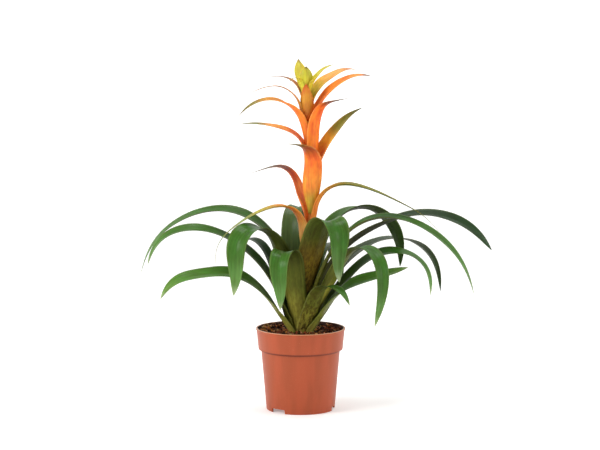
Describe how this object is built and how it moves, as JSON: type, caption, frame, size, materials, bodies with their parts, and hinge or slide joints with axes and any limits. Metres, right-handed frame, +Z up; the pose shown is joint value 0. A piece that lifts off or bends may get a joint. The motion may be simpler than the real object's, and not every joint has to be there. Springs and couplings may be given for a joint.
{
  "type": "potted bromeliad",
  "caption": "Bromeliad in a round nursery pot: arching strap leaves in a rosette, and a tall leaning flower stem with pointed, coloured bracts.",
  "frame": {"origin": "centre of the pot's underside, on the surface it stands on", "axes": "+Z up along the pot's axis, -Y the front, +X the plant's right as seen from the front"},
  "size_m": [0.4752, 0.3105, 0.4697],
  "materials": {
    "pot": "satin moulded terracotta-coloured plastic",
    "soil": "dark, rough bark compost",
    "leaf": "smooth, waxy green leaf",
    "stem": "smooth yellow-green stalk",
    "stem_leaf": "smooth leaf, orange at its base and green along its blade",
    "deep_red": "smooth, waxy dark red bract",
    "orange": "smooth, waxy orange bract with a dark green tip",
    "yellow": "smooth, waxy orange-yellow bract",
    "green_yellow": "smooth, waxy yellow-green bract"
  },
  "bodies": {
    "root": {"pot": "pot", "soil": "soil", "flower_stem": "stem", "leaf_left_high": "leaf", "leaf_front_centre": "leaf", "leaf_back_right_arch": "leaf", "leaf_front_left_broad": "leaf", "leaf_right_long": "leaf", "leaf_back_upright": "leaf", "leaf_front_left_droop": "leaf", "leaf_right_far": "leaf", "leaf_back_left_arch": "leaf", "leaf_left_mid": "leaf", "leaf_front_right_droop": "leaf", "leaf_back_arch": "leaf", "leaf_back_right_thin": "leaf", "leaf_back_left_low": "leaf", "leaf_front_short": "leaf", "leaf_left_low": "leaf", "leaf_right_low": "leaf", "leaf_back_low": "leaf", "leaf_right_inner": "leaf", "leaf_back_outer": "leaf", "stem_leaf_left": "stem_leaf", "stem_leaf_right": "stem_leaf", "bract_front_low": "orange", "bract_left_low": "deep_red", "bract_right_low": "orange", "bract_left_long": "orange", "bract_right_mid": "orange", "bract_left_high": "orange", "bract_right_high": "orange", "bract_left_thin": "yellow", "bract_front_high": "yellow", "bract_right_top": "yellow", "bract_left_top": "yellow", "bract_tip_right": "green_yellow", "bract_tip_left": "green_yellow", "bract_tip_back": "green_yellow", "bract_tip_front": "green_yellow"}
  },
  "joints": []
}
